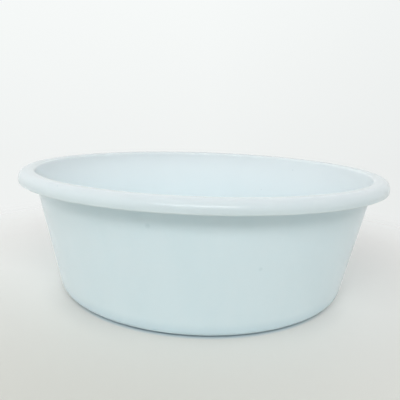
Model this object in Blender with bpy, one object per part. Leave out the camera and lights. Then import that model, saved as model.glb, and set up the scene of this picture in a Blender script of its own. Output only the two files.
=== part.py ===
"""A round plastic washtub, moulded in one piece.

The whole vessel is one turned section: floor, foot ring, leaning wall, and a
rim that turns outward and hangs down as a skirt. Sizes are in metres. +Z is up,
and the origin is on the table under the middle of the tub.
"""

import math

import bmesh
import bpy
from mathutils import Vector

# Overall sizes
RIM_DIAMETER = 0.380
HEIGHT = 0.1228
# Across the wall's outer face, carried straight down to the table
BASE_DIAMETER = 0.3048

# Thicknesses, the wall's measured level
WALL = 0.0020
FLOOR = 0.0022

# Rim, from the wall's inner face at the top to the skirt's outer face
RIM_WIDTH = 0.0148
RIM_OUTER_ROUND = 0.0076
RIM_INNER_ROUND = 0.0030
RIM_FALL = math.radians(4.3)
SKIRT_DROP = 0.0109
# The skirt's faces draw in downward
SKIRT_LEAN = math.radians(6.0)
SKIRT_EDGE_ROUND = 0.0007
CHANNEL_ROUND = 0.0015

# Foot, a flat ring that holds the floor clear of the table, set in a little from
# the end of the lower corner's round
BASE_ROUND = 0.0070
FOOT_RISE = 0.0015
FOOT_INSET = 0.0010
FOOT_WIDTH = 0.0040
FOOT_EDGE_ROUND = 0.0004

# Moulding mark under the middle of the floor
GATE_RADIUS = 0.0040
GATE_DROP = 0.0006

# Finish
TUB_COLOUR = (0.66, 0.75, 0.78, 1.0)
TUB_ROUGHNESS = 0.40

# Fineness
TURN_STEPS = 72
ARC_TOLERANCE = 0.00008
MERGE_DISTANCE = 0.00005

# The two rounds at a side's ends never take up more than this share of it
ROUND_ROOM_SHARE = 0.98


def clear_scene():
    """Empties the file of the objects that it starts with."""
    for item in list(bpy.data.objects):
        bpy.data.objects.remove(item, do_unlink=True)


def wall_lean():
    """How far the wall moves outward for each unit that it rises."""
    neck_radius = RIM_DIAMETER / 2 - RIM_WIDTH + WALL
    return (neck_radius - BASE_DIAMETER / 2) / HEIGHT


def wall_outside(height):
    """Radius of the wall's outer face at a height."""
    return BASE_DIAMETER / 2 + wall_lean() * height


def wall_inside(height):
    """Radius of the wall's inner face at a height."""
    return wall_outside(height) - WALL


def rim_top(radius):
    """Height of the rim's top face at a radius: it falls toward the mouth.

    The face is carried out past the outer round, whose highest point is the
    tub's overall height.
    """
    fall = math.tan(RIM_FALL)
    corner = HEIGHT + RIM_OUTER_ROUND * (1 / math.cos(RIM_FALL) + fall - 1)
    return corner - fall * (RIM_DIAMETER / 2 - radius)


def skirt_outside(height):
    """Radius of the skirt's outer face at a height.

    The face touches the outer round, whose widest point is the rim's radius.
    """
    spare = RIM_OUTER_ROUND * (1 / math.cos(SKIRT_LEAN) - 1)
    below = HEIGHT - RIM_OUTER_ROUND - height
    return RIM_DIAMETER / 2 + spare - math.tan(SKIRT_LEAN) * below


def skirt_inside(height):
    """Radius of the skirt's inner face at a height."""
    return skirt_outside(height) - WALL


def rim_meets(face, rim_offset):
    """Where a straight face, known by its radius at each height, crosses the rim's
    top face moved down by an offset."""
    start = face(0)
    lean = (face(HEIGHT) - start) / HEIGHT
    height = (rim_top(start) - rim_offset) / (1 - lean * math.tan(RIM_FALL))
    return start + lean * height, height


def foot_radii():
    """Outer and inner radius of the flat ring that stands on the table."""
    turn = math.pi / 2 - math.atan(wall_lean())
    round_end = wall_outside(FOOT_RISE) - BASE_ROUND * math.tan(turn / 2)
    outer = round_end - FOOT_INSET
    return outer, outer - FOOT_WIDTH


def inside_corners():
    """Corners of the section inside the tub, each with its round's radius."""
    floor_top = FOOT_RISE + FLOOR
    return [
        (0, floor_top, 0),
        (wall_inside(floor_top), floor_top, BASE_ROUND - WALL),
        (*rim_meets(wall_inside, 0), RIM_INNER_ROUND),
    ]


def skirt_corners():
    """Corners of the rim outside, of its skirt, and of the channel under it."""
    skirt_end = HEIGHT - SKIRT_DROP
    return [
        (*rim_meets(skirt_outside, 0), RIM_OUTER_ROUND),
        (skirt_outside(skirt_end), skirt_end, SKIRT_EDGE_ROUND),
        (skirt_inside(skirt_end), skirt_end, SKIRT_EDGE_ROUND),
        (*rim_meets(skirt_inside, WALL), RIM_OUTER_ROUND - WALL),
        (*rim_meets(wall_outside, WALL), CHANNEL_ROUND),
    ]


def underside_corners():
    """Corners of the foot ring, the floor's underside and the gate mark."""
    foot_outer, foot_inner = foot_radii()
    return [
        (wall_outside(FOOT_RISE), FOOT_RISE, BASE_ROUND),
        (foot_outer, FOOT_RISE, FOOT_EDGE_ROUND),
        (foot_outer, 0, FOOT_EDGE_ROUND),
        (foot_inner, 0, FOOT_EDGE_ROUND),
        (foot_inner, FOOT_RISE, FOOT_EDGE_ROUND),
        (GATE_RADIUS, FOOT_RISE, 0),
        (GATE_RADIUS, FOOT_RISE - GATE_DROP, 0),
        (0, FOOT_RISE - GATE_DROP, 0),
    ]


def turn_at(before, corner, after):
    """Angle by which the outline changes direction at a corner."""
    return math.pi - (before - corner).angle(after - corner)


def round_reaches(places, rounds):
    """How far each corner's round runs along its sides, cut where two would meet."""
    reaches = [0.0] * len(places)
    for index in range(1, len(places) - 1):
        turn = turn_at(*places[index - 1:index + 2])
        reaches[index] = rounds[index] * math.tan(turn / 2)
    for index in range(len(places) - 1):
        room = ROUND_ROOM_SHARE * (places[index + 1] - places[index]).length
        wanted = reaches[index] + reaches[index + 1]
        if wanted > room:
            reaches[index] *= room / wanted
            reaches[index + 1] *= room / wanted
    return reaches


def arc_step(radius):
    """Largest step along an arc whose chord stays within the tolerance of it."""
    return 2 * math.acos(max(0, 1 - ARC_TOLERANCE / radius))


def rounded_corner(before, corner, after, reach):
    """Points of the arc that rounds one corner, tangent to both its sides."""
    turn = turn_at(before, corner, after)
    if reach <= 0:
        return [corner]
    to_before = (before - corner).normalized()
    to_after = (after - corner).normalized()
    to_centre = (to_before + to_after).normalized()
    centre = corner + to_centre * (reach / math.sin(turn / 2))
    start = corner + to_before * reach - centre
    end = corner + to_after * reach - centre
    steps = math.ceil(turn / arc_step(start.length))
    points = []
    for step in range(steps + 1):
        swung = turn * step / steps
        offset = start * math.sin(turn - swung) + end * math.sin(swung)
        points.append(centre + offset / math.sin(turn))
    return points


def section():
    """The closed section's points, down the outer side from top to bottom."""
    corners = inside_corners() + skirt_corners() + underside_corners()
    places = [Vector((radius, height)) for radius, height, _ in corners]
    reaches = round_reaches(places, [corner[2] for corner in corners])
    points = [places[0]]
    for index in range(1, len(corners) - 1):
        points += rounded_corner(*places[index - 1:index + 2], reaches[index])
    return points + [places[-1]]


def section_mesh(name):
    """The section as a chain of edges in the XZ plane, at +X."""
    shape = bmesh.new()
    chain = [shape.verts.new((point.x, 0, point.y)) for point in section()]
    for start, end in zip(chain, chain[1:]):
        shape.edges.new((start, end))
    mesh = bpy.data.meshes.new(name)
    shape.to_mesh(mesh)
    shape.free()
    return mesh


def plastic(name):
    """Smooth, fairly glossy coloured plastic."""
    material = bpy.data.materials.new(name)
    material.use_nodes = True
    shader = material.node_tree.nodes["Principled BSDF"]
    shader.inputs["Base Color"].default_value = TUB_COLOUR
    shader.inputs["Roughness"].default_value = TUB_ROUGHNESS
    shader.inputs["Metallic"].default_value = 0.0
    return material


def make_tub():
    """The one moulding: its section turned all the way round the Z axis."""
    tub = bpy.data.objects.new("tub", section_mesh("tub"))
    bpy.context.scene.collection.objects.link(tub)
    tub.data.materials.append(plastic("tub_plastic"))
    turned = tub.modifiers.new("turned", "SCREW")
    turned.axis = "Z"
    turned.angle = math.tau
    turned.steps = TURN_STEPS
    turned.render_steps = TURN_STEPS
    turned.use_merge_vertices = True
    turned.merge_threshold = MERGE_DISTANCE
    turned.use_smooth_shade = True
    return tub


def main():
    clear_scene()
    make_tub()


main()
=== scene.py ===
"""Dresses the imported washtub: its fine surface, its plastic, and a plain studio.

Run as a script. Sizes are in metres, +Z is up, and the origin is on the table
under the middle of the tub, as in the frame.
"""

import math

import bpy
import numpy as np
from bpy.props import FloatProperty, FloatVectorProperty, IntProperty, PointerProperty
from mathutils import Matrix, Vector


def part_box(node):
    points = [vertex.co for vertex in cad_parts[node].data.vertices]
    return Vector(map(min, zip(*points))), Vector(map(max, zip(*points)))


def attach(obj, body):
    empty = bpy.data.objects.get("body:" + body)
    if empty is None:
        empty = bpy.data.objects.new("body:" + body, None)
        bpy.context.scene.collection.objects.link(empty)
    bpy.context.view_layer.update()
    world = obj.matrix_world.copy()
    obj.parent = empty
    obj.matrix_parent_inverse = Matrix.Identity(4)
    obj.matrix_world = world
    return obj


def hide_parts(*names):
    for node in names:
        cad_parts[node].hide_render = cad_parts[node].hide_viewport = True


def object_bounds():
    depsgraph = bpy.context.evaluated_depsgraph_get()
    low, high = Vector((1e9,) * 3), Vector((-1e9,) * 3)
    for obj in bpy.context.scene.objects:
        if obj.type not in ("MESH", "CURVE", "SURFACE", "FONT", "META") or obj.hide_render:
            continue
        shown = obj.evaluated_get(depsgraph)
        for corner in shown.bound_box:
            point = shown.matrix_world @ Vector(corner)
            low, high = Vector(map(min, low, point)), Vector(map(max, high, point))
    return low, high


bl_info = {
    "name": "Washtub",
    "version": (1, 0, 0),
    "blender": (4, 5, 0),
    "location": "3D Viewport > Sidebar > Washtub",
    "description": "Builds a one-piece moulded washtub and a plain studio round it",
    "category": "Add Mesh",
}

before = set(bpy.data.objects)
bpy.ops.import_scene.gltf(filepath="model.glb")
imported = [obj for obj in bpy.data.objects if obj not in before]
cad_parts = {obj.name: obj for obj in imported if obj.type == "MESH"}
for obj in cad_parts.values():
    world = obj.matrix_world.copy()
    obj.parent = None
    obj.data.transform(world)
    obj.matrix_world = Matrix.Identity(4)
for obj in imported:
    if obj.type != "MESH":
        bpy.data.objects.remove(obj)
CAD_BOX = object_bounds()
TUB_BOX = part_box("tub")

# Fineness of the section's arcs
ARC_CHORD = 0.0006
FEWEST_CHORDS = 4
# A straight's steps start as long as a chord, and each is longer than the one before
STEP_GROWTH = 1.7
LONGEST_STEP = 0.012
MOST_STEPS = 40

# Slow waves of the moulding's pull: how many go round, how deep, and the phase. The
# depths add up to a half, so that together they swing through the whole pull.
WAVES = ((2, 0.3, 0.7), (5, 0.2, 2.1))

# What a mask does over the span that it is given
RISING = (0.0, 1.0)
FALLING = (1.0, 0.0)

# Noise in the plastic, each with its scale, detail and roughness, and the span of the
# noise that makes a mask
FLOW_NOISE = (5.0, 3.0, 0.5)
FLOW_SPAN = (0.35, 0.65)
RUB_NOISE = (42.0, 5.0, 0.6)
RUB_SPAN = (0.45, 0.75)
GRAIN_NOISE = (1400.0, 2.0, 0.5)
GRAIN_STRENGTH = 0.05
GRAIN_DEPTH = 0.0001
# How much of a place, across and up, is added to its direction for the flow marks
FLOW_STRETCH = (1, 1, 2.5)

# Where inside turns into outside, in wall thicknesses from the wall's outer face
OUTSIDE_SPAN = (-0.8, -0.2)
# The painted light inside: a paler tone that stands in for the light and sheen inside
# the tub. It sets in from this far below to this far above the middle of the floor's
# thickness. It has the low strength up to a share of the tub's height, and from there
# grows to all its strength at the rim.
INSIDE_LIGHT_EDGE = 0.0005
INSIDE_LIGHT_LOW_STRENGTH = 0.4
INSIDE_LIGHT_LOW_HEIGHT = 0.4
# The painted shade on the rim, a duller tone that darkens its top where the light falls
# most, sets in over this distance below the skirt's edge, where it has the low strength,
# and grows to all its strength at the rim's top
RIM_SHADE_EDGE = 0.001
RIM_SHADE_LOW_STRENGTH = 0.1
# Heights between which the painted shade at the foot, darkest near the table, thins out
FOOT_SHADE_SPAN = (0.004, 0.016)

# Faint specks: cells in a metre, how far from its middle a dot fades out, in cells, and
# the span of a cell's random number over which its dot comes in
SPECK_CELLS = 55.0
SPECK_SPAN = (0.020, 0.045)
SPECK_PICK = (0.60, 0.61)
# The two specks that show in front: each one's place on the wall and its radius
DUST = (
    ((0.0459, -0.1591, 0.0640), 0.0024),
    ((-0.0395, -0.1675, 0.0975), 0.0030),
)
# Strength of a speck in front, and the share of its radius that has all of it
DUST_STRENGTH = 0.5
DUST_CORE = 0.2

# Plain values on the plastic's shader
PLASTIC = {
    "IOR": 1.49,
    "Specular IOR Level": 0.05,
    "Coat Weight": 0.5,
    "Coat Roughness": 0.05,
    "Subsurface Weight": 1.0,
    "Subsurface Radius": (1.0, 1.0, 1.0),
    "Subsurface Scale": 0.005,
}

# Plain values on the floor's shader
FLOOR = {"Roughness": 0.42, "Specular IOR Level": 0.2}
# The floor's tones, painted shade that darkens it toward the camera, go by the distance
# along this direction
FLOOR_DIRECTION = (0.2, 1, 0)
NEAR_TO_MIDDLE = (-0.26, -0.06)
MIDDLE_TO_FAR = (-0.06, 0.30)
# The painted shadow to the right of the tub comes in over this span to the right, up to
# a share
RIGHT_SPAN = (0.10, 0.27)
RIGHT_STRENGTH = 0.22
# The painted shadow beside the front of the foot: over which distances from the axis it
# fades out, over which it comes in from the middle to either side, over which it ends
# toward the back, and its strength from the left to the right
BESIDE_SPAN = (0.152, 0.178)
BESIDE_MIDDLE = (0.04, 0.10)
BESIDE_BACK = (-0.10, -0.05)
BESIDE_ACROSS = (-0.08, 0.08)
BESIDE_STRENGTH = (0.38, 0.24)
# The foot's shade: over which distances from the axis it fades out, and over which it
# ends toward the back
CONTACT_SPAN = (0.1485, 0.1532)
CONTACT_BACK = (-0.125, -0.08)
# The floor fades into the backdrop over these distances from the axis, all round and
# behind the tub, and counts as behind it over this span toward the back
FADE_SPAN = (0.2, 1.6)
FADE_SPAN_BEHIND = (0.25, 0.50)
BEHIND_SPAN = (-0.05, 0.15)

# The backdrop changes tone with a ray's rise, and weakens with its turn to the right
BACKDROP_RISE = (-0.1, 0.25)
BACKDROP_TURN = (0.0, 0.45)
BACKDROP_STRENGTH = (1.0, 0.95)

# Each side of the sky that lights the room: its direction and its strength
SKY = (
    ((0, 0, 1), 0.37),
    ((0, 1, 0), 0.70),
    ((-0.98, 0, -0.2), 0.92),
    ((1, 0, 0), 0.38),
)

# Each lamp: name, azimuth and elevation of its place in degrees (azimuth 0 is behind
# the camera, 90 at the camera's right), distance, width, height, radiance, and
# whether it gives the highlight or all the rest of the light
LAMPS = (
    ("strip_lamp", -4.0, 32.5, 1.8, 1.45, 0.40, 7.0, True),
    ("soft_lamp", 0.0, 38.0, 1.8, 1.9, 0.45, 6.85, False),
)

# The camera's sensor in millimetres, and how near it sees
SENSOR_WIDTH = 36.0
CLIP_START = 0.01


def length(name, description, default):
    """A property that holds one length in metres."""
    return FloatProperty(name=name, description=description, default=default, min=0.0,
                         precision=5, subtype="DISTANCE", unit="LENGTH")


def angle(name, description, default):
    """A property that holds one angle, given in degrees."""
    return FloatProperty(name=name, description=description,
                         default=math.radians(default), subtype="ANGLE",
                         unit="ROTATION")


def colour(name, description, default):
    """A property that holds one linear colour."""
    return FloatVectorProperty(name=name, description=description, default=default,
                               size=3, min=0.0, max=1.0, subtype="COLOR")


def share(name, description, default):
    """A property that holds one share or plain factor."""
    return FloatProperty(name=name, description=description, default=default, min=0.0,
                         precision=4, subtype="FACTOR")


class TubSizes(bpy.types.PropertyGroup):
    """Sizes of the tub's turned section."""

    rim_diameter: length("Rim diameter", "Across the rim's outer face",
                         TUB_BOX[1][0] - TUB_BOX[0][0])
    height: length("Height", "From the table to the top of the rim",
                   TUB_BOX[1][2] - TUB_BOX[0][2])
    base_diameter: length("Base diameter",
                          "Across the wall's outer face, carried down to the table",
                          0.3048)
    wall: length("Wall", "Thickness of the wall and the rim, measured level", 0.0020)
    floor: length("Floor", "Thickness of the floor", 0.0022)
    rim_width: length("Rim width",
                      "From the wall's inner face to the skirt's outer face", 0.0148)
    rim_outer_round: length("Rim outer round", "Radius where the rim turns down",
                            0.0076)
    rim_inner_round: length("Rim inner round", "Radius of the lip inside the rim",
                            0.0030)
    rim_fall: angle("Rim fall", "How far the rim's top tips toward the mouth", 4.3)
    skirt_drop: length("Skirt drop", "From the rim's top down to the skirt's edge",
                       0.0109)
    skirt_lean: angle("Skirt lean", "How far the skirt's faces draw in downward", 6.0)
    skirt_edge_round: length("Skirt edge round", "Radius of the skirt's lower edge",
                             0.0007)
    channel_round: length("Channel round", "Radius between the wall and the rim, below",
                          0.0015)
    base_round: length("Base round", "Radius of the tub's lower outer corner", 0.0070)
    foot_rise: length("Foot rise",
                      "How far the foot ring holds the floor off the table", 0.0015)
    foot_inset: length("Foot inset",
                       "From the end of the base round in to the foot ring", 0.0010)
    foot_width: length("Foot width", "Width of the flat ring that stands on the table",
                       0.0040)
    foot_edge_round: length("Foot edge round", "Radius of the foot ring's edges",
                            0.0004)
    gate_radius: length("Gate radius", "Radius of the moulding mark under the floor",
                        0.0040)
    gate_drop: length("Gate drop", "How far the moulding mark stands out", 0.0006)
    gate_round: length("Gate round", "Radius of the moulding mark's edges", 0.0002)
    warp: length("Warp", "How far the moulding has pulled out of round", 0.00012)
    steps_round: IntProperty(name="Steps round", description="Faces round the tub",
                             default=384, min=24)


class TubFinish(bpy.types.PropertyGroup):
    """Colours and gloss of the plastic."""

    body: colour("Body", "The plastic's own colour", (0.638, 0.750, 0.786))
    pale: colour("Pale", "Tone of the paler flow marks", (0.653, 0.760, 0.795))
    # Painted light: a paler tone inside the tub, strongest at the rim
    painted_inside_light: colour("Film", "Tone of the thin soap film inside", (0.800, 0.888, 0.922))
    # Painted shade: a duller, darker tone on the rim, strongest at its top
    rim_shade: colour("Handled", "Tone of the rim, which hands have rubbed",
                    (0.655, 0.730, 0.758))
    # Painted shade: a darker tone at the foot, near the table
    foot_shade: colour("Soil", "Tone of the thin grime at the foot", (0.555, 0.672, 0.720))
    speck: colour("Speck", "Tone of the few faint specks of dust", (0.53, 0.64, 0.67))
    roughness: share("Roughness", "Roughness of the clean plastic", 0.40)
    rubbed: share("Rubbed roughness", "Roughness where the plastic is rubbed", 0.48)


class StageSizes(bpy.types.PropertyGroup):
    """The camera's place, and the tones of the floor and the backdrop."""

    camera_distance: length("Camera distance", "Level distance from the tub's axis",
                            0.4561)
    camera_height: length("Camera height", "Height above the table", 0.1761)
    camera_pitch: angle("Camera pitch", "How far the camera looks down", 11.404)
    camera_yaw: angle("Camera yaw", "How far the camera looks to the left", 0.412)
    camera_roll: angle("Camera roll", "How far the camera leans", 1.892)
    lens: FloatProperty(name="Lens", description="Focal length on a 36 mm wide sensor",
                        default=37.06, min=1.0, subtype="DISTANCE_CAMERA")
    floor_reach: length("Floor reach", "Half the width of the floor", 4.0)
    # Painted shade: the floor is painted darker toward the camera and paler behind the tub
    near_tone: colour("Near floor", "Tone of the floor toward the camera",
                      (0.68, 0.68, 0.63))
    middle_tone: colour("Middle floor", "Tone of the floor at the tub's front",
                        (0.90, 0.90, 0.87))
    far_tone: colour("Far floor", "Tone of the floor behind the tub",
                     (0.98, 0.98, 0.97))
    # Painted shadow: the floor darker to the right of the tub and beside the foot
    side_shade: colour("Side floor", "Tone that the floor takes on toward the right",
                      (0.60, 0.60, 0.58))
    contact_tone: colour("Contact tone", "Tone of the floor where the foot shades it",
                         (0.60, 0.69, 0.73))
    backdrop: colour("Backdrop", "Tone behind the floor, high up",
                     (0.925, 0.950, 0.942))
    backdrop_foot: colour("Backdrop foot", "Tone behind the floor, low down",
                          (0.870, 0.890, 0.882))


def wall_lean(sizes):
    """How far the wall moves outward for each unit that it rises."""
    neck = sizes.rim_diameter / 2 - sizes.rim_width + sizes.wall
    return (neck - sizes.base_diameter / 2) / sizes.height


def rim_top(sizes, radius):
    """Height of the rim's top face at a radius.

    A straight line that falls toward the mouth, tangent to the outer round, whose
    highest point is the tub's height.
    """
    fall = math.tan(sizes.rim_fall)
    spare = 1 / math.cos(sizes.rim_fall) + fall - 1
    corner = sizes.height + sizes.rim_outer_round * spare
    return corner - fall * (sizes.rim_diameter / 2 - radius)


def wall_face(sizes, height, inward=0.0):
    """Radius of the wall's outer face at a height, moved inward: a straight line."""
    return sizes.base_diameter / 2 - inward + wall_lean(sizes) * height


def skirt_face(sizes, height, inward=0.0):
    """Radius of the skirt's outer face at a height, moved inward.

    A straight line that draws in downward, tangent to the outer round, whose widest
    point is the rim's radius.
    """
    draw = math.tan(sizes.skirt_lean)
    spare = sizes.rim_outer_round * (1 / math.cos(sizes.skirt_lean) - 1)
    below = sizes.height - sizes.rim_outer_round - height
    return sizes.rim_diameter / 2 - inward + spare - draw * below


def rim_meets(sizes, face, inward, lowered):
    """Where a straight face, moved inward, crosses the rim's top face, lowered."""
    start = face(sizes, 0, inward)
    lean = (face(sizes, sizes.height, inward) - start) / sizes.height
    height = (rim_top(sizes, start) - lowered) / (1 - lean * math.tan(sizes.rim_fall))
    return start + lean * height, height


def section_corners(sizes):
    """Corners of the section as rows of radius, height and round, from the middle of
    the floor inside, over the rim, down the outside and under the floor."""
    wall = sizes.wall
    skirt_end = sizes.height - sizes.skirt_drop
    turn = math.pi / 2 - math.atan(wall_lean(sizes))
    under, inside = sizes.foot_rise, sizes.foot_rise + sizes.floor
    round_end = wall_face(sizes, under) - sizes.base_round * math.tan(turn / 2)
    foot_outer = round_end - sizes.foot_inset
    foot_inner = foot_outer - sizes.foot_width
    foot_edge = sizes.foot_edge_round
    gate_face = sizes.foot_rise - sizes.gate_drop
    return np.array([
        (0, inside, 0),
        (wall_face(sizes, inside, wall), inside, sizes.base_round - wall),
        (*rim_meets(sizes, wall_face, wall, 0), sizes.rim_inner_round),
        (*rim_meets(sizes, skirt_face, 0, 0), sizes.rim_outer_round),
        (skirt_face(sizes, skirt_end), skirt_end, sizes.skirt_edge_round),
        (skirt_face(sizes, skirt_end, wall), skirt_end, sizes.skirt_edge_round),
        (*rim_meets(sizes, skirt_face, wall, wall), sizes.rim_outer_round - wall),
        (*rim_meets(sizes, wall_face, 0, wall), sizes.channel_round),
        (wall_face(sizes, under), under, sizes.base_round),
        (foot_outer, under, foot_edge),
        (foot_outer, 0, foot_edge),
        (foot_inner, 0, foot_edge),
        (foot_inner, under, foot_edge),
        (sizes.gate_radius, under, sizes.gate_round),
        (sizes.gate_radius, gate_face, sizes.gate_round),
        (0, gate_face, 0),
    ])


def arc(before, corner, after, radius):
    """Points of the arc that rounds a corner.

    The arc is tangent to both sides: its points turn evenly from the first tangent
    point to the second about the centre, which lies on the corner's bisector.
    """
    if radius <= 0:
        return corner[None]
    to_before = (before - corner) / np.linalg.norm(before - corner)
    to_after = (after - corner) / np.linalg.norm(after - corner)
    turn = math.pi - math.acos(np.clip(to_before @ to_after, -1, 1))
    reach = radius * math.tan(turn / 2)
    bisector = (to_before + to_after) / np.linalg.norm(to_before + to_after)
    centre = corner + bisector * radius / math.cos(turn / 2)
    start = corner + to_before * reach - centre
    end = corner + to_after * reach - centre
    chords = max(FEWEST_CHORDS, math.ceil(radius * turn / ARC_CHORD))
    swung = np.linspace(0, turn, chords + 1)[:, None]
    offset = (start * np.sin(turn - swung) + end * np.sin(swung)) / math.sin(turn)
    return centre + offset


def straight(start, end):
    """Points between two arcs, close together near both ends and wider in between.

    From either end to the middle, each step is the one before times the growth, up to
    the longest step, so that shading near a round stays true.
    """
    span = np.linalg.norm(end - start)
    steps = np.minimum(ARC_CHORD * STEP_GROWTH ** np.arange(MOST_STEPS), LONGEST_STEP)
    places = np.cumsum(steps)
    places = places[places < span / 2]
    places = np.concatenate([places, [span / 2], span - places[::-1]])
    places = places[(places > ARC_CHORD / 2) & (places < span - ARC_CHORD / 2)]
    return start + (end - start) * places[:, None] / span


def section(sizes):
    """The whole section as rows of radius and height, arcs and straights in turn."""
    corners = section_corners(sizes)
    places = corners[:, :2]
    arcs = [places[:1]]
    for index in range(1, len(corners) - 1):
        arcs.append(arc(*places[index - 1:index + 2], corners[index, 2]))
    arcs.append(places[-1:])
    runs = []
    for first, second in zip(arcs, arcs[1:]):
        runs += [first, straight(first[-1], second[0])]
    return np.concatenate(runs + [arcs[-1]])


def warped(points, sizes):
    """Moves points as the cooling plastic pulls.

    The radius shrinks by a sum of slow sine waves round the tub, each less its own
    depth, so that they only pull inward. The pull grows with the square of the height,
    from nothing at the foot to its full depth at the rim.
    """
    turn = np.arctan2(points[:, 1], points[:, 0])
    rise = np.clip(points[:, 2] / sizes.height, 0, 1)
    wave = sum(depth * np.sin(count * turn + phase) for count, depth, phase in WAVES)
    wave -= sum(depth for _, depth, _ in WAVES)
    grow = 1 + sizes.warp * wave * rise ** 2 / (sizes.rim_diameter / 2)
    moved = points.copy()
    moved[:, :2] *= grow[:, None]
    return moved


def turned_mesh(name, profile, sizes):
    """A closed mesh: the profile turned about Z and warped, with a point at each pole.

    A point is (radius cos turn, radius sin turn, height) for each turn and each row
    of the profile between its two ends, which lie on the axis.
    """
    steps = sizes.steps_round
    ring = profile[1:-1]
    turn = np.linspace(0, 2 * math.pi, steps, endpoint=False)
    grid = np.empty((len(ring), steps, 3))
    grid[..., 0] = ring[:, :1] * np.cos(turn)
    grid[..., 1] = ring[:, :1] * np.sin(turn)
    grid[..., 2] = ring[:, 1:]
    poles = np.array([(0, 0, profile[0, 1]), (0, 0, profile[-1, 1])])
    points = warped(np.concatenate([grid.reshape(-1, 3), poles]), sizes)
    number = np.arange(len(ring) * steps).reshape(len(ring), steps)
    after = np.roll(number, -1, axis=1)
    quads = np.stack([number[:-1], number[1:], after[1:], after[:-1]], -1)
    first_pole = len(ring) * steps
    fan_in = np.stack([np.full(steps, first_pole), number[0], after[0]], -1)
    fan_out = np.stack([np.full(steps, first_pole + 1), after[-1], number[-1]], -1)
    return mesh_from(name, points, [fan_in, quads.reshape(-1, 4), fan_out])


def mesh_from(name, points, blocks):
    """A smooth-shaded mesh from points and blocks of faces, each of one face size."""
    mesh = bpy.data.meshes.new(name)
    counts = np.concatenate([np.full(len(block), block.shape[1]) for block in blocks])
    corners = np.concatenate([block.ravel() for block in blocks])
    mesh.vertices.add(len(points))
    mesh.vertices.foreach_set("co", points.astype(np.float32).ravel())
    mesh.loops.add(len(corners))
    mesh.loops.foreach_set("vertex_index", corners.astype(np.int32))
    mesh.polygons.add(len(counts))
    starts = np.concatenate([[0], np.cumsum(counts)[:-1]])
    mesh.polygons.foreach_set("loop_start", starts.astype(np.int32))
    mesh.polygons.foreach_set("loop_total", counts.astype(np.int32))
    mesh.update(calc_edges=True)
    if mesh.validate():
        raise RuntimeError("the mesh of " + name + " had to be mended")
    mesh.shade_smooth()
    return mesh


def add_object(name, data):
    """A new object at the origin, linked to the scene."""
    item = bpy.data.objects.new(name, data)
    bpy.context.scene.collection.objects.link(item)
    return item


def new_material(name):
    """An empty node material and its node tree."""
    material = bpy.data.materials.new(name)
    material.use_nodes = True
    material.node_tree.nodes.clear()
    return material, material.node_tree


def feed(tree, socket, value):
    """Gives a socket its value, by a link if that is another socket."""
    if isinstance(value, bpy.types.NodeSocket):
        tree.links.new(value, socket)
    else:
        socket.default_value = value


def new_node(tree, kind, sockets):
    """A new node of a kind, its sockets fed by name."""
    node = tree.nodes.new(kind)
    for name, value in sockets.items():
        feed(tree, node.inputs[name], value)
    return node


def ordered_node(tree, kind, values, operation=None):
    """A new node of a kind, its first sockets fed in order."""
    node = tree.nodes.new(kind)
    if operation:
        node.operation = operation
    for socket, value in zip(node.inputs, values):
        feed(tree, socket, value)
    return node


def maths(tree, operation, *values):
    """The result of one operation on numbers."""
    return ordered_node(tree, "ShaderNodeMath", values, operation).outputs["Value"]


def vector_maths(tree, operation, *values):
    """The vector that one operation on vectors gives."""
    node = ordered_node(tree, "ShaderNodeVectorMath", values, operation)
    return node.outputs["Vector"]


def vector_measure(tree, operation, *values):
    """The number that one operation on vectors gives."""
    node = ordered_node(tree, "ShaderNodeVectorMath", values, operation)
    return node.outputs["Value"]


def times(tree, first, *others):
    """The product of some values."""
    for value in others:
        first = maths(tree, "MULTIPLY", first, value)
    return first


def noise(tree, place, scale, detail, roughness):
    """A noise texture's value at a place."""
    return new_node(tree, "ShaderNodeTexNoise", {
        "Vector": place, "Scale": scale, "Detail": detail, "Roughness": roughness,
    }).outputs["Fac"]


def ranged(tree, value, span, result=RISING, smooth=False):
    """A value moved from one span to another and held within it."""
    node = tree.nodes.new("ShaderNodeMapRange")
    node.interpolation_type = "SMOOTHSTEP" if smooth else "LINEAR"
    names = ("Value", "From Min", "From Max", "To Min", "To Max")
    for name, given in zip(names, (value, *span, *result)):
        feed(tree, node.inputs[name], given)
    return node.outputs["Result"]


def rgba(tone):
    """A colour property as four numbers."""
    return (*tone, 1.0)


def mixed(tree, factor, first, second):
    """A colour mixed from two colours or sockets by a factor."""
    node = tree.nodes.new("ShaderNodeMix")
    node.data_type = "RGBA"
    feed(tree, node.inputs["Factor"], factor)
    for name, value in (("A", first), ("B", second)):
        socket = [s for s in node.inputs if s.name == name and s.type == "RGBA"][0]
        feed(tree, socket, value)
    return [s for s in node.outputs if s.type == "RGBA"][0]


def blended(tree, factor, first, second):
    """A shader mixed from two shaders by a factor."""
    values = (factor, first, second)
    return ordered_node(tree, "ShaderNodeMixShader", values).outputs["Shader"]


def level_part(tree, place):
    """A place without its height."""
    return vector_maths(tree, "MULTIPLY", place, (1, 1, 0))


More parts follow.
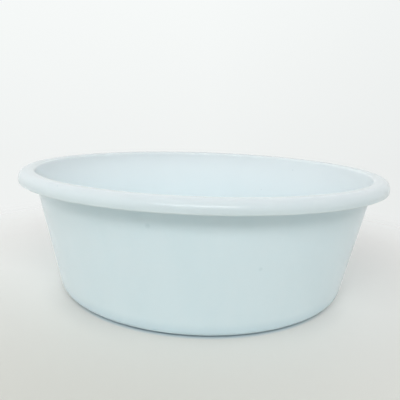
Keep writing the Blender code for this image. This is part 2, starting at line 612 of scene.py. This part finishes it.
def tub_plastic(finish, sizes):
    """Translucent moulded plastic under a smooth skin.

    Its colour has faint flow marks that run out from the middle and up the wall, and a
    few specks of dust anywhere. A paler tone inside, strongest toward the rim, is painted
    light. A darker tone at the foot is painted shade, and so is the duller rim, darkest
    at its top. The skin is rubbed in places.
    """
    material, tree = new_material("moulded_plastic")
    place = tree.nodes.new("ShaderNodeTexCoord").outputs["Object"]
    height = new_node(tree, "ShaderNodeSeparateXYZ", {"Vector": place}).outputs["Z"]
    outside = outside_mask(tree, place, height, sizes)
    flow = ranged(tree, noise(tree, flow_place(tree, place), *FLOW_NOISE), FLOW_SPAN)
    tone = mixed(tree, flow, rgba(finish.body), rgba(finish.pale))
    for mask, over in (
        # painted light inside the tub
        (painted_inside_light_mask(tree, outside, height, sizes), finish.painted_inside_light),
        # painted shade on the rim
        (rim_shade_mask(tree, outside, height, sizes), finish.rim_shade),
        # painted shade at the foot
        (foot_shade_mask(tree, outside, height), finish.foot_shade),
        (specks(tree, place), finish.speck),
    ):
        tone = mixed(tree, mask, tone, rgba(over))
    rough = ranged(tree, noise(tree, place, *RUB_NOISE), RUB_SPAN,
                   (finish.roughness, finish.rubbed))
    bump = new_node(tree, "ShaderNodeBump", {
        "Strength": GRAIN_STRENGTH, "Distance": GRAIN_DEPTH,
        "Height": noise(tree, place, *GRAIN_NOISE),
    })
    shader = new_node(tree, "ShaderNodeBsdfPrincipled", {
        **PLASTIC, "Base Color": tone, "Roughness": rough,
        "Normal": bump.outputs["Normal"],
    })
    new_node(tree, "ShaderNodeOutputMaterial", {"Surface": shader.outputs["BSDF"]})
    return material


def outside_mask(tree, place, height, sizes):
    """One on the outer faces of the wall and the rim, nothing on the wall's inner face.

    It goes by the distance from the axis, less the radius of the wall's outer face at
    the same height.
    """
    radius = vector_measure(tree, "LENGTH", level_part(tree, place))
    face = maths(tree, "MULTIPLY_ADD", height, wall_lean(sizes),
                 sizes.base_diameter / 2)
    offset = maths(tree, "SUBTRACT", radius, face)
    return ranged(tree, offset, [part * sizes.wall for part in OUTSIDE_SPAN])


def painted_inside_light_mask(tree, outside, height, sizes):
    """Mask of the painted light inside: one at the rim, less than half on the floor,
    nothing on the outside.
    """
    inside = maths(tree, "SUBTRACT", 1.0, outside)
    floor = sizes.foot_rise + sizes.floor / 2
    above = ranged(tree, height, (floor - INSIDE_LIGHT_EDGE, floor + INSIDE_LIGHT_EDGE))
    rise = ranged(tree, height, (INSIDE_LIGHT_LOW_HEIGHT * sizes.height, sizes.height),
                  (INSIDE_LIGHT_LOW_STRENGTH, 1.0))
    return times(tree, inside, above, rise)


def rim_shade_mask(tree, outside, height, sizes):
    """Mask of the painted shade on the rim: one on its top, a tenth at the skirt's edge,
    nothing on the wall.
    """
    skirt_end = sizes.height - sizes.skirt_drop
    above = ranged(tree, height, (skirt_end - RIM_SHADE_EDGE, skirt_end))
    rise = ranged(tree, height, (skirt_end, sizes.height - sizes.wall),
                  (RIM_SHADE_LOW_STRENGTH, 1.0))
    return times(tree, outside, above, rise)


def foot_shade_mask(tree, outside, height):
    """Mask of the painted shade at the foot: one on the outside at the foot, nothing a
    little higher or inside.
    """
    return times(tree, ranged(tree, height, FOOT_SHADE_SPAN, FALLING, smooth=True), outside)


def flow_place(tree, place):
    """Where the melt was: the direction from the axis, and a little of the place.

    The level part is brought to length one, so that a pattern on it runs out over the
    floor and straight up the wall.
    """
    turn = vector_maths(tree, "NORMALIZE", level_part(tree, place))
    rise = vector_maths(tree, "MULTIPLY", place, FLOW_STRETCH)
    return vector_maths(tree, "ADD", turn, rise)


def specks(tree, place):
    """Mask of a few small specks: soft dots in two cells of five, and the dust in
    front, whose mask falls off with the distance from its place."""
    cells = new_node(tree, "ShaderNodeTexVoronoi", {
        "Vector": place, "Scale": SPECK_CELLS,
    }).outputs
    dot = ranged(tree, cells["Distance"], SPECK_SPAN, FALLING)
    pick = new_node(tree, "ShaderNodeSeparateColor", {"Color": cells["Color"]})
    mask = times(tree, dot, ranged(tree, pick.outputs["Red"], SPECK_PICK))
    for spot, radius in DUST:
        away = vector_measure(tree, "DISTANCE", place, spot)
        soft = ranged(tree, away, (DUST_CORE * radius, radius), (DUST_STRENGTH, 0.0),
                      smooth=True)
        mask = maths(tree, "MAXIMUM", mask, soft)
    return mask


class WASHTUB_OT_tub(bpy.types.Operator):
    """Builds the tub's fine surface and gives it its plastic"""

    bl_idname = "washtub.tub"
    bl_label = "Tub"

    def execute(self, context):
        sizes = context.scene.washtub_sizes
        mesh = turned_mesh("tub_shell", section(sizes), sizes)
        tub = add_object("tub_shell", mesh)
        mesh.materials.append(tub_plastic(context.scene.washtub_finish, sizes))
        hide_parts("tub")
        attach(tub, "root")
        return {"FINISHED"}


def add_lamp(name, azimuth, elevation, distance, width, height, radiance, highlight):
    """A soft rectangular lamp that faces the tub from a direction."""
    turn, rise = math.radians(azimuth), math.radians(elevation)
    aim = Vector((0, 0, CAD_BOX[1][2] / 2))
    out = Vector((math.sin(turn) * math.cos(rise), -math.cos(turn) * math.cos(rise),
                  math.sin(rise)))
    data = bpy.data.lights.new(name, "AREA")
    data.shape = "RECTANGLE"
    data.size = width
    data.size_y = height
    data.energy = radiance * math.pi * width * height
    lamp = add_object(name, data)
    lamp.location = aim + out * distance
    lamp.rotation_euler = out.to_track_quat("Z", "Y").to_euler()
    lamp.visible_glossy = highlight
    lamp.visible_diffuse = not highlight


def add_camera(stage):
    """The camera, turned by its yaw, then its pitch, then its roll."""
    data = bpy.data.cameras.new("camera")
    data.sensor_width = SENSOR_WIDTH
    data.lens = stage.lens
    data.clip_start = CLIP_START
    camera = add_object("camera", data)
    turn = Matrix.Rotation(stage.camera_yaw, 4, "Z")
    tilt = Matrix.Rotation(math.pi / 2 - stage.camera_pitch, 4, "X")
    lean = Matrix.Rotation(stage.camera_roll, 4, "Z")
    place = Matrix.Translation((0, -stage.camera_distance, stage.camera_height))
    camera.matrix_world = place @ turn @ tilt @ lean
    bpy.context.scene.camera = camera


def floor_tone(tree, stage, along, away, across, back):
    """The floor's tone, with its painted shade and shadow, by the distances along its
    direction, away from the axis, to the right and toward the back."""
    # painted shade: darker toward the camera
    half = mixed(tree, ranged(tree, along, NEAR_TO_MIDDLE), rgba(stage.near_tone),
                 rgba(stage.middle_tone))
    whole = mixed(tree, ranged(tree, along, MIDDLE_TO_FAR), half, rgba(stage.far_tone))
    # painted shadow to the right of the tub and beside the foot
    right = ranged(tree, across, RIGHT_SPAN, (0.0, RIGHT_STRENGTH))
    beside = times(tree, ranged(tree, away, BESIDE_SPAN, FALLING, smooth=True),
                   ranged(tree, across, BESIDE_ACROSS, BESIDE_STRENGTH),
                   ranged(tree, maths(tree, "ABSOLUTE", across), BESIDE_MIDDLE),
                   ranged(tree, back, BESIDE_BACK, FALLING))
    sided = mixed(tree, maths(tree, "MAXIMUM", right, beside), whole,
                  rgba(stage.side_shade))
    foot = times(tree, ranged(tree, away, CONTACT_SPAN, FALLING, smooth=True),
                 ranged(tree, back, CONTACT_BACK, FALLING))
    return mixed(tree, foot, sided, rgba(stage.contact_tone))


def floor_material(stage):
    """Matt pale floor with painted shade, darker toward the camera, that fades into the
    backdrop.

    Its tone, painted shade, goes by the distance behind the tub's axis, plus a fifth of
    the distance to its right. It takes on some of the side shade, a painted shadow, at
    the right and beside the front of the foot, which also shades a narrow ring. Behind
    the tub it fades out sooner.
    """
    material, tree = new_material("studio_floor")
    place = tree.nodes.new("ShaderNodeTexCoord").outputs["Object"]
    parts = new_node(tree, "ShaderNodeSeparateXYZ", {"Vector": place}).outputs
    along = vector_measure(tree, "DOT_PRODUCT", place, FLOOR_DIRECTION)
    away = vector_measure(tree, "LENGTH", place)
    tone = floor_tone(tree, stage, along, away, parts["X"], parts["Y"])
    shader = new_node(tree, "ShaderNodeBsdfPrincipled", {**FLOOR, "Base Color": tone})
    clear = tree.nodes.new("ShaderNodeBsdfTransparent")
    behind = times(tree, ranged(tree, away, FADE_SPAN_BEHIND, smooth=True),
                   ranged(tree, parts["Y"], BEHIND_SPAN))
    fade = maths(tree, "MAXIMUM", ranged(tree, away, FADE_SPAN, smooth=True), behind)
    surface = blended(tree, fade, shader.outputs["BSDF"], clear.outputs["BSDF"])
    new_node(tree, "ShaderNodeOutputMaterial", {"Surface": surface})
    return material


def add_floor(stage):
    """A flat square floor round the origin."""
    corners = np.array([(-1, -1, 0), (1, -1, 0), (1, 1, 0), (-1, 1, 0)], float)
    mesh = mesh_from("studio_floor", stage.floor_reach * corners,
                     [np.array([(0, 1, 2, 3)])])
    mesh.materials.append(floor_material(stage))
    floor = add_object("studio_floor", mesh)


def sky_light(tree, ray):
    """Strength of the room's soft light by a ray's direction.

    Each side of the sky adds its strength times the cosine between its direction and
    the ray's, where that is above nothing.
    """
    sides = [ranged(tree, vector_measure(tree, "DOT_PRODUCT", ray, direction), RISING,
                    (0.0, strength)) for direction, strength in SKY]
    total = sides[0]
    for side in sides[1:]:
        total = maths(tree, "ADD", total, side)
    return total


def add_world(stage):
    """Plain soft light from the room, and the pale backdrop behind everything.

    The camera sees the backdrop, and so do reflections and clear pieces. All other
    rays see the room's light.
    """
    world = bpy.data.worlds.new("studio")
    world.use_nodes = True
    tree = world.node_tree
    tree.nodes.clear()
    ray = tree.nodes.new("ShaderNodeTexCoord").outputs["Generated"]
    light = new_node(tree, "ShaderNodeBackground", {
        "Color": (1, 1, 1, 1), "Strength": sky_light(tree, ray),
    })
    parts = new_node(tree, "ShaderNodeSeparateXYZ", {"Vector": ray}).outputs
    tone = mixed(tree, ranged(tree, parts["Z"], BACKDROP_RISE),
                 rgba(stage.backdrop_foot), rgba(stage.backdrop))
    side = ranged(tree, parts["X"], BACKDROP_TURN, BACKDROP_STRENGTH)
    seen = new_node(tree, "ShaderNodeBackground", {"Color": tone, "Strength": side})
    path = tree.nodes.new("ShaderNodeLightPath").outputs
    shown = path["Is Camera Ray"]
    for kind in ("Is Glossy Ray", "Is Transmission Ray"):
        shown = maths(tree, "MAXIMUM", shown, path[kind])
    surface = blended(tree, shown, light.outputs["Background"],
                      seen.outputs["Background"])
    new_node(tree, "ShaderNodeOutputWorld", {"Surface": surface})
    bpy.context.scene.world = world


class WASHTUB_OT_stage(bpy.types.Operator):
    """Builds the camera, the lamps, the backdrop and the floor"""

    bl_idname = "washtub.stage"
    bl_label = "Stage"

    def execute(self, context):
        stage = context.scene.washtub_stage
        add_camera(stage)
        add_world(stage)
        add_floor(stage)
        for lamp in LAMPS:
            add_lamp(*lamp)
        context.scene.view_settings.view_transform = "Standard"
        return {"FINISHED"}


class WASHTUB_PT_panel(bpy.types.Panel):
    """Lists the sizes, the finish and the pieces"""

    bl_idname = "WASHTUB_PT_panel"
    bl_label = "Washtub"
    bl_space_type = "VIEW_3D"
    bl_region_type = "UI"
    bl_category = "Washtub"

    def draw(self, context):
        column = self.layout.column()
        for group in (context.scene.washtub_sizes, context.scene.washtub_finish,
                      context.scene.washtub_stage):
            for name in group.__annotations__:
                column.prop(group, name)
        for piece in PIECES:
            column.operator(piece.bl_idname)


GROUPS = {"washtub_sizes": TubSizes, "washtub_finish": TubFinish,
          "washtub_stage": StageSizes}
PIECES = (WASHTUB_OT_stage, WASHTUB_OT_tub)
CLASSES = (*GROUPS.values(), *PIECES, WASHTUB_PT_panel)


def register():
    """Registers the classes and hangs the property groups on the scene."""
    for item in CLASSES:
        bpy.utils.register_class(item)
    for name, group in GROUPS.items():
        setattr(bpy.types.Scene, name, PointerProperty(type=group))


def unregister():
    """Takes back what register did."""
    for name in GROUPS:
        delattr(bpy.types.Scene, name)
    for item in reversed(CLASSES):
        bpy.utils.unregister_class(item)


def main():
    """Builds the studio and the tub."""
    register()
    bpy.ops.washtub.stage()
    bpy.ops.washtub.tub()


if __name__ == "__main__":
    main()
